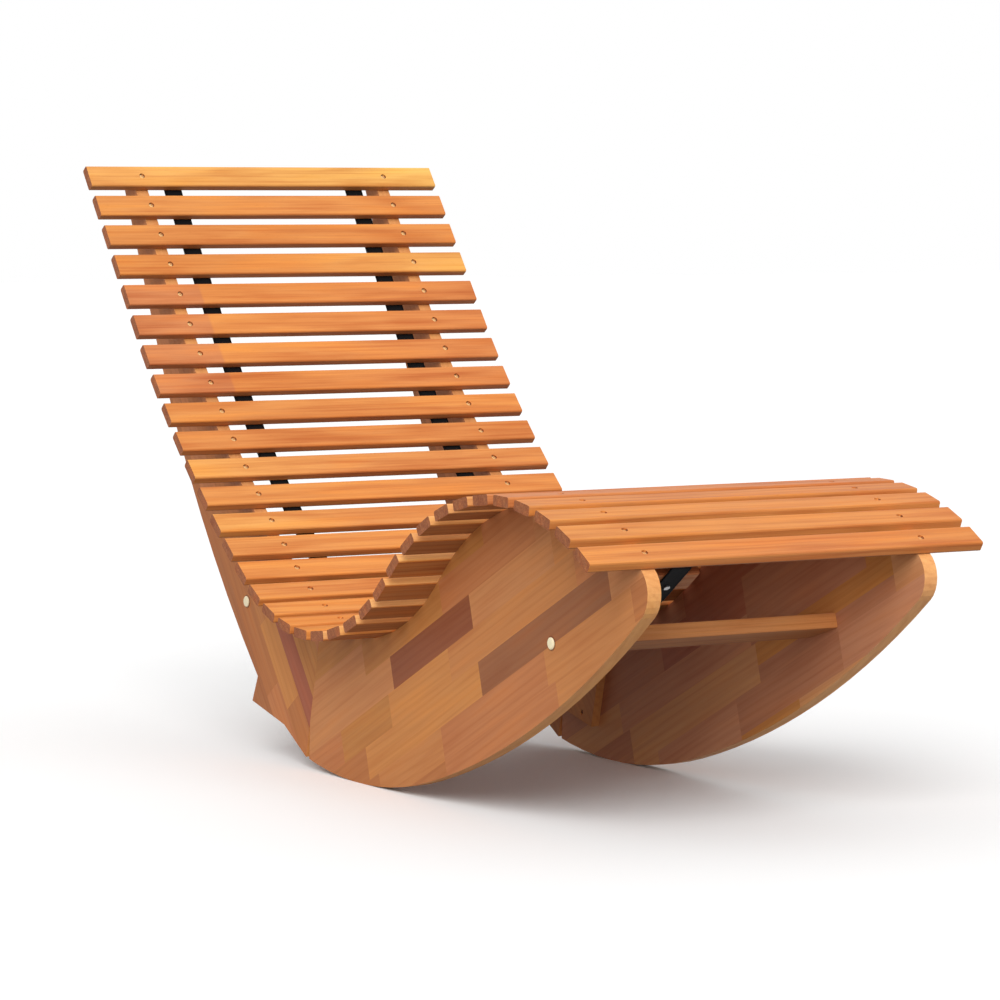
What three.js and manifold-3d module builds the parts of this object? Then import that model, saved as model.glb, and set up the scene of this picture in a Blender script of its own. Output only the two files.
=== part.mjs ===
// A rocking chaise lounge of oiled hardwood: thirty-five slats on two side boards.
// The seat line, seen from the side, is a straight back that runs into a seat hollow and a knee hump.
// Millimetres. X points to the foot end, Y to the sitter's left, Z up.
// The origin is on the floor, under the middle of the length and of the width.
import * as THREE from 'three';
import { mergeVertices } from 'three/addons/utils/BufferGeometryUtils.js';
import Module from 'manifold-3d';

const wasm = await Module();
wasm.setup();

// Clearances
const touch = 0.3;
const cutOverrun = 5;
const weldDistance = 0.0001;

// Slats
const slatLength = 600;
const slatWidth = 37;
const slatThickness = 14;
const slatEdgeRadius = 2.5;
const slatCount = 35;
const backGapCount = 12;
const backPitch = 55.12;
const seatPitch = 50.4;
const boardEndMargin = 15.4;

// Seat line: the top edge of the side boards, placed by the lowest point of the seat hollow
const hollowForward = -3;
const hollowHeight = 202.7;
const hollowRadius = 321;
const hollowRearAngle = 36.3;
const hollowFrontAngle = 46.5;
const loinRadius = 1726;
const backAngle = 53.7;
const kneeRadius = 388;
const footAngle = 34;

// Side boards
const boardThickness = 20;
const slatOverhang = 79;
const backTopDepth = 30;
const backFootDepth = 183;
const noseRadius = 38;
const rockerForward = 8;
const rockerRadius = 735;
const rockerFlat = 36;
const rockerRearFlatCount = 4;
const rockerFrontFlatCount = 5;
const foreRockerFlat = 42;
const toeBack = 219;
const toeHeight = 56;
const heelBack = 319;
const heelHeight = 80;

// Seam between the rear and the front board of a side
const seamBack = 125;
const seamHeight = 129;
const seamLean = 13.5;
const seamWedgeHeight = 70;
const seamWedgeWidth = 13;

// Splice cleat over the seam
const cleatAhead = 103;
const cleatBehind = 100;
const cleatLength = 146;
const cleatBelow = 61;
const cleatThickness = 13;
const cleatScrewFromEdge = 12;
const cleatScrewFromFront = 30;
const cleatScrewSpacing = 30;
const cleatScrewFromRear = 28;

// Stretchers between the sides, placed along the seat line and below it
const stretcherWidth = 70;
const stretcherThickness = 21;
const stretcherEdgeRadius = 3;
const frontStretcherFromFoot = 216;
const frontStretcherDrop = 178.5;
const frontStretcherTilt = 17;
const rearStretcherFromLoin = 84.3;
const rearStretcherDrop = 119.3;
const rearStretcherTilt = -42;

// Wood screws: the slats and the cleats have only the holes for theirs
const slatScrew = { headRadius: 4.2, headHeight: 2.6, shankRadius: 1.7, length: 36 };
const slatScrewSink = 3.8;
const cleatScrew = { headRadius: 3.8, headHeight: 2.4, shankRadius: 1.8, length: 22 };
const cleatScrewSink = 2.4;

// Stretcher bolts, their barrel nuts and the round caps over their heads
const boltRadius = 3;
const boltLength = 62;
const boltHeadRadius = 5.5;
const boltHeadHeight = 4;
const boltSeatDepth = 8;
const capRadius = 8;
const capRise = 2.2;
const capPlugLength = 2.6;
const nutRadius = 5;
const nutLength = 13;
const nutFromEnd = 32;

// Webbing straps under the slats: the right one folds back under the last slat, and its tail falls to the rear
const strapWidth = 30;
const strapThickness = 2;
const strapInset = 28;
const leftStrapFromEdge = 12;
const strapFoldFromEdge = 4;
const strapFoldRadius = 3;
const strapTailSlope = 36;
const strapTailStraight = 70;
const strapTailBendRadius = 210;
const strapTailBend = 13;
const strapScrew = { headRadius: 4.5, headHeight: 2, shankRadius: 1.8, length: 16, tipLength: 4 };
const strapScrewFromFold = 46;

// Block on the right front board, which the tail is screwed to
const strapBlockWidth = 40;
const strapBlockThickness = 20;
const strapBlockLength = 80;
const strapBlockFromFold = 20;

// Facet counts
const cornerSteps = 2;
const noseSteps = 8;
const loinSteps = 8;
const foldSteps = 6;
const tailSteps = 3;
const boreSides = 10;
const screwSides = 6;
const boltSides = 12;
const capSides = 18;

const degree = Math.PI / 180;
const sides = [
  { name: 'left', sign: 1 },
  { name: 'right', sign: -1 },
];

// Places across the width, worked out from the slats
const boardOuter = slatLength / 2 - slatOverhang;
const boardInner = boardOuter - boardThickness;
const boardMiddle = (boardOuter + boardInner) / 2;
const strapMiddle = boardInner - strapInset - strapWidth / 2;

// Materials
function material(name, color, roughness, metalness) {
  const made = new THREE.MeshStandardMaterial({ color, roughness, metalness });
  made.name = name;
  return made;
}
const slatWood = material('slat_wood', 0xe6a05a, 0.55, 0);
const boardWood = material('board_wood', 0xb07848, 0.55, 0);
const railWood = material('stretcher_wood', 0xc88a4c, 0.55, 0);
const webbing = material('webbing', 0x141414, 0.9, 0);
const steel = material('steel', 0xb8b8b8, 0.35, 1);
const capPlastic = material('cap_plastic', 0xebe1b4, 0.5, 0);

// Solids: a geometry becomes a manifold and comes back as a geometry
function toSolid(geometry) {
  const bare = geometry.clone();
  bare.deleteAttribute('normal');
  bare.deleteAttribute('uv');
  const merged = mergeVertices(bare, weldDistance);
  const vertProperties = new Float32Array(merged.attributes.position.array);
  const triVerts = new Uint32Array(merged.index.array);
  return new wasm.Manifold(new wasm.Mesh({ numProp: 3, vertProperties, triVerts }));
}

function toGeometry(solid) {
  const mesh = solid.getMesh();
  const geometry = new THREE.BufferGeometry();
  geometry.setAttribute('position', new THREE.BufferAttribute(new Float32Array(mesh.vertProperties), 3));
  geometry.setIndex(new THREE.BufferAttribute(new Uint32Array(mesh.triVerts), 1));
  const flat = geometry.toNonIndexed();
  flat.computeVertexNormals();
  return flat;
}

function cutAll(geometry, cutters) {
  let solid = toSolid(geometry);
  for (const cutter of cutters) {
    solid = solid.subtract(toSolid(cutter));
  }
  return toGeometry(solid);
}

// A side outline in X and Z, given a width across Y that is centred on middleY
function plate(outline, width, middleY) {
  const shape = new THREE.Shape(outline.map(([x, z]) => new THREE.Vector2(x, z)));
  const geometry = new THREE.ExtrudeGeometry(shape, { depth: width, bevelEnabled: false });
  geometry.rotateX(Math.PI / 2);
  geometry.translate(0, middleY + width / 2, 0);
  return geometry;
}

// A revolved piece whose axis is Z, from a profile of radius and height pairs
function turned(profile, sideCount) {
  const points = profile.map(([radius, height]) => new THREE.Vector2(radius, height));
  const geometry = new THREE.LatheGeometry(points, sideCount);
  geometry.rotateX(Math.PI / 2);
  return geometry;
}

function rod(radius, low, high, sideCount) {
  return turned([[0, low], [radius, low], [radius, high], [0, high]], sideCount);
}

// A round-cornered bar section, wide along X and thick along Z
function barOutline(width, thickness, radius) {
  const outline = [];
  const corners = [
    { x: width / 2 - radius, z: thickness / 2 - radius, start: 0 },
    { x: radius - width / 2, z: thickness / 2 - radius, start: 90 },
    { x: radius - width / 2, z: radius - thickness / 2, start: 180 },
    { x: width / 2 - radius, z: radius - thickness / 2, start: 270 },
  ];
  for (const corner of corners) {
    for (let step = 0; step <= cornerSteps; step += 1) {
      const angle = (corner.start + (90 * step) / cornerSteps) * degree;
      outline.push([corner.x + radius * Math.cos(angle), corner.z + radius * Math.sin(angle)]);
    }
  }
  return outline;
}

// The seat line as a chain of a straight and arcs, walked from the top of the back to the foot
function walk(start, heading, legs) {
  const chain = [];
  let { x, z } = start;
  let angle = heading;
  let station = 0;
  for (const leg of legs) {
    const bend = leg.turn ? Math.sign(leg.turn) / leg.radius : 0;
    const length = leg.turn ? Math.abs(leg.turn) * degree * leg.radius : leg.length;
    const part = { x, z, angle, bend, length, station };
    chain.push(part);
    ({ x, z, angle } = along(part, length));
    station += length;
  }
  return chain;
}

function along(part, distance) {
  const angle = part.angle + part.bend * distance;
  if (part.bend === 0) {
    const x = part.x + distance * Math.cos(angle);
    return { x, z: part.z + distance * Math.sin(angle), angle };
  }
  const x = part.x + (Math.sin(angle) - Math.sin(part.angle)) / part.bend;
  const z = part.z + (Math.cos(part.angle) - Math.cos(angle)) / part.bend;
  return { x, z, angle };
}

const seatGapCount = slatCount - 1 - backGapCount;
const seatLineLength = 2 * boardEndMargin + backGapCount * backPitch + seatGapCount * seatPitch;
const bentLegs = [
  { radius: loinRadius, turn: backAngle - hollowRearAngle },
  { radius: hollowRadius, turn: hollowRearAngle },
  { radius: hollowRadius, turn: hollowFrontAngle },
  { radius: kneeRadius, turn: -(hollowFrontAngle + footAngle) },
];
const bentLength = bentLegs.reduce((sum, leg) => sum + Math.abs(leg.turn) * degree * leg.radius, 0);
const backStraight = seatLineLength - bentLength;
const seatLegs = [{ length: backStraight }, ...bentLegs];
const trialLine = walk({ x: 0, z: 0 }, -backAngle * degree, seatLegs);
const trialHollow = trialLine[3];
const seatStart = { x: hollowForward - trialHollow.x, z: hollowHeight - trialHollow.z };
const seatLine = walk(seatStart, -backAngle * degree, seatLegs);
const loinEndStation = seatLine[2].station;

function seatPoint(station) {
  const part = seatLine.filter((leg) => leg.station <= station).pop() ?? seatLine[0];
  return along(part, station - part.station);
}

// A point set off from the seat line, up towards the slats or down into the board
function seatOffset(station, rise) {
  const { x, z, angle } = seatPoint(station);
  return [x - rise * Math.sin(angle), z + rise * Math.cos(angle)];
}

function slatStation(index) {
  const fromFoot = Math.min(slatCount - 1 - index, seatGapCount) * seatPitch;
  const fromSeat = Math.max(backGapCount - index, 0) * backPitch;
  return seatLineLength - boardEndMargin - fromFoot - fromSeat;
}

// Each slat lies on a short flat of the board edge, a chord of the seat line
function slatSeat(index) {
  const station = slatStation(index);
  const rear = seatPoint(station - slatWidth / 2);
  const front = seatPoint(station + slatWidth / 2);
  const angle = Math.atan2(front.z - rear.z, front.x - rear.x);
  return { x: (rear.x + front.x) / 2, z: (rear.z + front.z) / 2, angle, rear, front };
}

const seats = [];
for (let index = 0; index < slatCount; index += 1) {
  seats.push(slatSeat(index));
}
const boardTopRear = seatPoint(0);
const boardTopFront = seatPoint(seatLineLength);

// The flats that the slats lie on, one after the other
function seatFlats() {
  return seats.flatMap(({ rear, front }) => [[rear.x, rear.z], [front.x, front.z]]);
}

// The board's top edge, without the parts of the end flats that the board doesn't reach
function boardTopEdge() {
  const inner = seatFlats().slice(1, -1);
  return [[boardTopRear.x, boardTopRear.z], ...inner, [boardTopFront.x, boardTopFront.z]];
}

// The nose: an arc from the foot end of the seat line to the tip of the fore rocker
const noseCentre = {
  x: boardTopFront.x + noseRadius * Math.sin(boardTopFront.angle),
  z: boardTopFront.z - noseRadius * Math.cos(boardTopFront.angle),
};

// The middle rocker: flats on a circle, with one flat on the floor under the balance point
const rockerStep = rockerFlat / rockerRadius;
const rockerCentre = { x: rockerForward, z: rockerRadius * Math.cos(rockerStep / 2) };
const rockerRearSwing = (rockerRearFlatCount + 0.5) * rockerStep;
const rockerFrontSwing = (rockerFrontFlatCount + 0.5) * rockerStep;

function onRocker(swing) {
  const x = rockerCentre.x + rockerRadius * Math.sin(swing);
  return { x, z: rockerCentre.z - rockerRadius * Math.cos(swing) };
}

// The fore rocker: the one arc that leaves the middle rocker and meets the nose without a corner
const foreStart = onRocker(rockerFrontSwing);
const foreNormal = { x: -Math.sin(rockerFrontSwing), z: Math.cos(rockerFrontSwing) };
const foreToNose = { x: noseCentre.x - foreStart.x, z: noseCentre.z - foreStart.z };
const foreReach = foreToNose.x * foreNormal.x + foreToNose.z * foreNormal.z;
const foreSpan = foreToNose.x ** 2 + foreToNose.z ** 2;
const foreRadius = (foreSpan - noseRadius ** 2) / (2 * (foreReach - noseRadius));
const foreCentre = {
  x: foreStart.x + foreRadius * foreNormal.x,
  z: foreStart.z + foreRadius * foreNormal.z,
};
const foreEndSwing = Math.atan2(noseCentre.x - foreCentre.x, foreCentre.z - noseCentre.z);

function noseOutline() {
  const startAngle = boardTopFront.angle + 90 * degree;
  const endAngle = foreEndSwing - 90 * degree;
  const outline = [];
  for (let step = 1; step <= noseSteps; step += 1) {
    const angle = startAngle + ((endAngle - startAngle) * step) / noseSteps;
    const x = noseCentre.x + noseRadius * Math.cos(angle);
    outline.push([x, noseCentre.z + noseRadius * Math.sin(angle)]);
  }
  return outline;
}

function rockerOutline() {
  const outline = [];
  const swingRun = foreEndSwing - rockerFrontSwing;
  const foreFlatCount = Math.max(1, Math.round((swingRun * foreRadius) / foreRockerFlat));
  for (let flat = foreFlatCount - 1; flat > 0; flat -= 1) {
    const swing = rockerFrontSwing + (swingRun * flat) / foreFlatCount;
    const x = foreCentre.x + foreRadius * Math.sin(swing);
    outline.push([x, foreCentre.z - foreRadius * Math.cos(swing)]);
  }
  for (let flat = rockerFrontFlatCount; flat >= -rockerRearFlatCount - 1; flat -= 1) {
    const { x, z } = onRocker((flat + 0.5) * rockerStep);
    outline.push([x, z]);
  }
  return outline;
}

// The rear edge: the board grows deeper from the top of the back down to the heel
function backDepth(station) {
  return backTopDepth + ((backFootDepth - backTopDepth) * station) / loinEndStation;
}

function rearEdge() {
  const outline = [];
  for (let step = loinSteps; step >= 0; step -= 1) {
    const station = backStraight + ((loinEndStation - backStraight) * step) / loinSteps;
    outline.push(seatOffset(station, -backDepth(station)));
  }
  outline.push(seatOffset(0, -backTopDepth));
  return outline;
}

function sideOutline() {
  const heel = [[-toeBack, toeHeight], [-heelBack, heelHeight]];
  return [...boardTopEdge(), ...noseOutline(), ...rockerOutline(), ...heel, ...rearEdge()];
}

// Places given along the seam: ahead of it, and up it from the seam's reference point
const seamUp = { x: Math.sin(seamLean * degree), z: Math.cos(seamLean * degree) };

function fromSeam(ahead, up) {
  const x = -seamBack + ahead * seamUp.z + up * seamUp.x;
  return [x, seamHeight - ahead * seamUp.x + up * seamUp.z];
}

// Everything ahead of a line parallel to the seam
function aheadOfSeam(ahead) {
  const reach = slatLength + seatLineLength;
  const outline = [
    fromSeam(ahead, -reach),
    fromSeam(ahead + reach, -reach),
    fromSeam(ahead + reach, reach),
    fromSeam(ahead, reach),
  ];
  return plate(outline, slatLength + cutOverrun, 0);
}

function seamWedge(middleY) {
  const apex = seamWedgeHeight - seamHeight;
  const foot = -seamHeight - cutOverrun;
  const outline = [
    fromSeam(-cutOverrun, apex),
    fromSeam(-cutOverrun, foot),
    fromSeam(seamWedgeWidth, foot),
    fromSeam(0, apex),
  ];
  return plate(outline, boardThickness + 2 * cutOverrun, middleY);
}

// Screws stand head up on Z: the underside of the head is at height zero
function screwSolid(screw) {
  const profile = [
    [0, -screw.length],
    [screw.shankRadius, screw.tipLength - screw.length],
    [screw.shankRadius, 0],
    [screw.headRadius, 0],
    [screw.headRadius, screw.headHeight],
    [0, screw.headHeight],
  ];
  return turned(profile, screwSides);
}

// A counterbore that is open at the top and a clearance hole below it
function screwBore(screw) {
  return [
    rod(screw.headRadius + touch, -touch, screw.headHeight + cutOverrun, boreSides),
    rod(screw.shankRadius + touch, -screw.length - touch, cutOverrun, screwSides),
  ];
}

// Puts a piece that is made on the Z axis onto a slat's seat, with its rise above the board edge
function ontoSeat(geometry, seat, rise, y) {
  const placed = geometry.clone();
  placed.translate(0, y, rise);
  placed.rotateY(-seat.angle);
  placed.translate(seat.x, 0, seat.z);
  return placed;
}

const slatScrewRise = touch + slatThickness - slatScrewSink;

function slatScrewBores(sign) {
  const shank = screwBore(slatScrew)[1];
  return seats.map((seat) => ontoSeat(shank, seat, slatScrewRise, sign * boardMiddle));
}

// A cleat screw's place: points across the side, with its head towards the middle of the lounge
function acrossSide(geometry, sign, x, y, z) {
  const placed = geometry.clone();
  placed.rotateX(sign * 90 * degree);
  placed.translate(x, y, z);
  return placed;
}

const cleatScrewColumns = [
  cleatAhead - cleatScrewFromFront,
  cleatAhead - cleatScrewFromFront - cleatScrewSpacing,
  cleatScrewFromRear - cleatBehind,
  cleatScrewFromRear + cleatScrewSpacing - cleatBehind,
];
const cleatScrewRows = [
  cleatScrewFromEdge - cleatBelow,
  cleatLength - cleatBelow - cleatScrewFromEdge,
];
const cleatHeadY = boardInner - touch - cleatThickness + cleatScrewSink;

function atCleatScrews(geometry, sign) {
  return cleatScrewRows.flatMap((up) => cleatScrewColumns.map((ahead) => {
    const [x, z] = fromSeam(ahead, up);
    return acrossSide(geometry, sign, x, sign * cleatHeadY, z);
  }));
}

// Stretchers, with the bolts that run into their ends
function stretcherPlace(name, station, drop, tilt) {
  const [x, z] = seatOffset(station, -drop);
  return { name, x, z, tilt: tilt * degree };
}
const frontStation = seatLineLength - frontStretcherFromFoot;
const rearStation = loinEndStation - rearStretcherFromLoin;
const stretchers = [
  stretcherPlace('front', frontStation, frontStretcherDrop, frontStretcherTilt),
  stretcherPlace('rear', rearStation, rearStretcherDrop, rearStretcherTilt),
];
const boltHeadY = boardOuter - boltSeatDepth + touch;
const nutY = boardInner - touch - nutFromEnd;

// A bolt stands head up on Z: the underside of the head is at height zero
function boltSolid() {
  const profile = [
    [0, -boltLength],
    [boltRadius, -boltLength],
    [boltRadius, 0],
    [boltHeadRadius, 0],
    [boltHeadRadius, boltHeadHeight],
    [0, boltHeadHeight],
  ];
  return turned(profile, boltSides);
}

function boltBores() {
  return [
    rod(boltHeadRadius + touch, -touch, boltSeatDepth + cutOverrun, boltSides),
    rod(boltRadius + touch, -boltLength - touch, cutOverrun, boltSides),
  ];
}

// A cap: a low dome with a short plug, its flange on the board's face at height zero
function capSolid() {
  const profile = [
    [0, -capPlugLength],
    [boltHeadRadius, -capPlugLength],
    [boltHeadRadius, touch],
    [capRadius, touch],
    [capRadius, touch + capRise / 2],
    [capRadius * Math.cos(30 * degree), touch + capRise * Math.sin(60 * degree)],
    [capRadius / 2, touch + capRise],
    [0, touch + capRise],
  ];
  return turned(profile, capSides);
}

function outwards(geometry, sign, x, y, z) {
  return acrossSide(geometry, -sign, x, y, z);
}

function atBolt(geometry, stretcher, sign, y) {
  return outwards(geometry, sign, stretcher.x, sign * y, stretcher.z);
}

function barrelNut({ x, z, tilt }, sign) {
  const barrel = rod(nutRadius, -nutLength / 2, nutLength / 2, boltSides);
  const thread = rod(boltRadius + touch, -nutRadius - cutOverrun, nutRadius + cutOverrun, boltSides);
  thread.rotateX(90 * degree);
  const nut = cutAll(barrel, [thread]);
  nut.rotateY(-tilt);
  nut.translate(x, sign * nutY, z);
  return nut;
}

// A barrel nut's hole is open on the stretcher's upper side only
function nutBore(sign) {
  const bore = rod(nutRadius + touch, -nutLength / 2 - touch, stretcherThickness, boltSides);
  bore.translate(0, sign * nutY, 0);
  return bore;
}

function stretcherSolid(stretcher) {
  const outline = barOutline(stretcherWidth, stretcherThickness, stretcherEdgeRadius);
  const bar = plate(outline, 2 * (boardInner - touch), 0);
  const shank = boltBores()[1];
  const cutters = sides.flatMap(({ sign }) => [
    outwards(shank, sign, 0, sign * boltHeadY, 0),
    nutBore(sign),
  ]);
  const geometry = cutAll(bar, cutters);
  geometry.rotateY(-stretcher.tilt);
  geometry.translate(stretcher.x, 0, stretcher.z);
  return geometry;
}

// A side board: the part of the whole side behind or ahead of the seam, drilled for what it carries
function sideBoards(sign) {
  const middleY = sign * boardMiddle;
  const drills = [
    ...slatScrewBores(sign),
    ...atCleatScrews(screwBore(cleatScrew)[1], sign),
    ...stretchers.flatMap((stretcher) => {
      return boltBores().map((bore) => atBolt(bore, stretcher, sign, boltHeadY));
    }),
  ];
  const whole = toSolid(cutAll(plate(sideOutline(), boardThickness, middleY), drills));
  const rear = whole.subtract(toSolid(aheadOfSeam(-touch / 2)));
  const front = whole.intersect(toSolid(aheadOfSeam(touch / 2))).subtract(toSolid(seamWedge(middleY)));
  return { rear: toGeometry(rear), front: toGeometry(front) };
}

function cleatSolid(sign) {
  const outline = [
    fromSeam(-cleatBehind, -cleatBelow),
    fromSeam(cleatAhead, -cleatBelow),
    fromSeam(cleatAhead, cleatLength - cleatBelow),
    fromSeam(-cleatBehind, cleatLength - cleatBelow),
  ];
  const middleY = sign * (boardInner - touch - cleatThickness / 2);
  const bores = screwBore(cleatScrew).flatMap((bore) => atCleatScrews(bore, sign));
  return cutAll(plate(outline, cleatThickness, middleY), bores);
}

// One slat, lying flat on the Z axis with its underside at height zero
function slatSolid() {
  const outline = barOutline(slatWidth, slatThickness, slatEdgeRadius);
  const bar = plate(outline, slatLength, 0);
  bar.translate(0, 0, slatThickness / 2);
  const bores = sides.flatMap(({ sign }) => screwBore(slatScrew).map((bore) => {
    const placed = bore.clone();
    placed.translate(0, sign * boardMiddle, slatThickness - slatScrewSink);
    return placed;
  }));
  return cutAll(bar, bores);
}

// Sets a line of points off to its left by a distance, with mitred corners
function offsetLine(points, distance) {
  return points.map(([x, z], index) => {
    const [beforeX, beforeZ] = points[Math.max(index - 1, 0)];
    const [afterX, afterZ] = points[Math.min(index + 1, points.length - 1)];
    const into = index > 0 ? Math.atan2(z - beforeZ, x - beforeX) : Math.atan2(afterZ - z, afterX - x);
    const out = index < points.length - 1 ? Math.atan2(afterZ - z, afterX - x) : into;
    const turn = Math.atan2(Math.sin(out - into), Math.cos(out - into));
    const angle = into + turn / 2;
    const reach = distance / Math.cos(turn / 2);
    return [x - reach * Math.sin(angle), z + reach * Math.cos(angle)];
  });
}

function ribbon(centreLine, thickness, width, middleY) {
  const upper = offsetLine(centreLine, thickness / 2);
  const lower = offsetLine(centreLine, -thickness / 2);
  return plate([...upper, ...lower.reverse()], width, middleY);
}

// The strap lies against the undersides of the slats, from the first to the last
const strapRun = offsetLine(seatFlats(), -strapThickness / 2);
const rightStrapY = -strapMiddle;

// The fold of the right strap turns from the last slat's slope to the tail's
const lastSlope = seats[slatCount - 1].angle;
const tailTilt = strapTailSlope * degree;
const foldTurn = Math.PI - tailTilt + lastSlope;
const foldReach = strapFoldRadius * Math.tan(foldTurn / 2);

function backFromRunEnd(distance) {
  const [x, z] = strapRun[strapRun.length - 1];
  return { x: x - distance * Math.cos(lastSlope), z: z - distance * Math.sin(lastSlope) };
}
const foldStart = backFromRunEnd(strapFoldFromEdge + foldReach);
const foldCorner = backFromRunEnd(strapFoldFromEdge);

function tailPoints() {
  const legs = [
    { radius: strapFoldRadius, turn: -foldTurn / degree, steps: foldSteps },
    { length: strapTailStraight - foldReach, steps: 1 },
    { radius: strapTailBendRadius, turn: -strapTailBend, steps: tailSteps },
  ];
  const points = [[foldStart.x, foldStart.z]];
  walk(foldStart, lastSlope, legs).forEach((part, index) => {
    const { steps } = legs[index];
    for (let step = 1; step <= steps; step += 1) {
      const { x, z } = along(part, (part.length * step) / steps);
      points.push([x, z]);
    }
  });
  return points;
}

// Puts a piece onto the tail: made with the fold at the origin, the tail along -X and the block above it
function ontoTail(geometry) {
  const placed = geometry.clone();
  placed.rotateY(-tailTilt);
  placed.translate(foldCorner.x, 0, foldCorner.z);
  return placed;
}

// A screw's place on the tail: head down, with its shank up through the strap into the block
function atStrapScrew(geometry) {
  const placed = geometry.clone();
  placed.rotateX(180 * degree);
  placed.translate(-strapScrewFromFold, rightStrapY, -touch - strapThickness / 2);
  return placed;
}

function strapBlockSolid() {
  const bar = plate(
    barOutline(strapBlockWidth, strapBlockThickness, stretcherEdgeRadius),
    strapBlockLength,
    strapBlockLength / 2 + touch - boardInner,
  );
  const middleX = -strapBlockFromFold - strapBlockWidth / 2;
  bar.translate(middleX, 0, (strapThickness + strapBlockThickness) / 2 + touch);
  return ontoTail(cutAll(bar, [atStrapScrew(screwBore(strapScrew)[1])]));
}

function leftStrapSolid() {
  const { x, z } = backFromRunEnd(leftStrapFromEdge);
  return ribbon([...strapRun.slice(0, -1), [x, z]], strapThickness, strapWidth, strapMiddle);
}

function rightStrapSolid() {
  const centreLine = [...strapRun.slice(0, -1), ...tailPoints()];
  const whole = ribbon(centreLine, strapThickness, strapWidth, rightStrapY);
  return cutAll(whole, [ontoTail(atStrapScrew(screwBore(strapScrew)[1]))]);
}

// The assembly
const lounge = new THREE.Group();
lounge.name = 'rocking_chaise_lounge';

function add(name, geometry, finish) {
  const mesh = new THREE.Mesh(geometry, finish);
  mesh.name = name;
  lounge.add(mesh);
  return mesh;
}

for (const { name, sign } of sides) {
  const { rear, front } = sideBoards(sign);
  add(`rear_side_board_${name}`, rear, boardWood);
  add(`front_side_board_${name}`, front, boardWood);
  add(`splice_cleat_${name}`, cleatSolid(sign), railWood);
}

for (const stretcher of stretchers) {
  add(`${stretcher.name}_stretcher`, stretcherSolid(stretcher), railWood);
  for (const { name, sign } of sides) {
    const place = `${stretcher.name}_${name}`;
    add(`bolt_${place}`, atBolt(boltSolid(), stretcher, sign, boltHeadY), steel);
    add(`barrel_nut_${place}`, barrelNut(stretcher, sign), steel);
    add(`bolt_cap_${place}`, atBolt(capSolid(), stretcher, sign, boardOuter), capPlastic);
  }
}
add('webbing_strap_left', leftStrapSolid(), webbing);
add('webbing_strap_right', rightStrapSolid(), webbing);
add('strap_block', strapBlockSolid(), railWood);
add('strap_screw', ontoTail(atStrapScrew(screwSolid(strapScrew))), steel);

const slatGeometry = slatSolid();
seats.forEach((seat, index) => {
  const slat = add(`slat_${String(index + 1).padStart(2, '0')}`, slatGeometry, slatWood);
  slat.rotation.y = -seat.angle;
  slat.position.set(seat.x - touch * Math.sin(seat.angle), 0, seat.z + touch * Math.cos(seat.angle));
});

export default lounge;
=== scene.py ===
import math

import bmesh
import bpy
from mathutils import Matrix, Vector


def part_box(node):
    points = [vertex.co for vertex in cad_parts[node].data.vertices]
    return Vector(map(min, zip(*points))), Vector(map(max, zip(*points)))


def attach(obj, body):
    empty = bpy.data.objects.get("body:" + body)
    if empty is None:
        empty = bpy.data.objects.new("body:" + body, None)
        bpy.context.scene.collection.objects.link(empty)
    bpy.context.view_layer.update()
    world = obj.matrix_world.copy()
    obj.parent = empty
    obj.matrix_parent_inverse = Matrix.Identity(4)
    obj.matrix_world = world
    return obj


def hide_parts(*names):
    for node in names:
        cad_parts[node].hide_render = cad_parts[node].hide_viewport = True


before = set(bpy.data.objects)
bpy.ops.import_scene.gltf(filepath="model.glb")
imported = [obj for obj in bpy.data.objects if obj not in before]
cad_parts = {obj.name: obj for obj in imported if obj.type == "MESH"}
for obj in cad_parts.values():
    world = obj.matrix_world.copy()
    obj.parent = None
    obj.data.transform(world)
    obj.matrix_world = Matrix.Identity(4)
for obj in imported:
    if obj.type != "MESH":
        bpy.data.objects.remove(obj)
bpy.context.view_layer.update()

# The rocking chaise lounge: finishes for the carried-over solids, woven straps and small fasteners.
# Metres, in the frame of the solids: X to the foot end, Y to the sitter's left, Z up.

MM = 0.001

# Camera
PHOTO_WIDTH_PX = 1000
FOCAL_PX = 3961
SENSOR_WIDTH_MM = 36
CAMERA_YAW = 0.5355
CAMERA_PITCH = 0.0762
CAMERA_DISTANCE = 5.634
CAMERA_RIGHT = 0.009
CAMERA_UP = 0.385
VIEW_DEPTH = 100


def make_camera():
    """A camera that looks from the foot end and the right, at the photo's angle."""
    cos_yaw, sin_yaw = math.cos(CAMERA_YAW), math.sin(CAMERA_YAW)
    cos_pitch, sin_pitch = math.cos(CAMERA_PITCH), math.sin(CAMERA_PITCH)
    right = Vector((sin_yaw, cos_yaw, 0))
    ahead = Vector((-cos_yaw * cos_pitch, sin_yaw * cos_pitch, -sin_pitch))
    up = right.cross(ahead)
    place = CAMERA_RIGHT * right + CAMERA_UP * up - CAMERA_DISTANCE * ahead
    data = bpy.data.cameras.new("camera")
    data.sensor_width = SENSOR_WIDTH_MM
    data.lens = FOCAL_PX / PHOTO_WIDTH_PX * SENSOR_WIDTH_MM
    data.clip_end = VIEW_DEPTH
    camera = bpy.data.objects.new("camera", data)
    turn = Matrix((right, up, -ahead)).transposed()
    camera.matrix_world = Matrix.Translation(place) @ turn.to_4x4()
    bpy.context.scene.collection.objects.link(camera)
    bpy.context.scene.camera = camera


make_camera()


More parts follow.
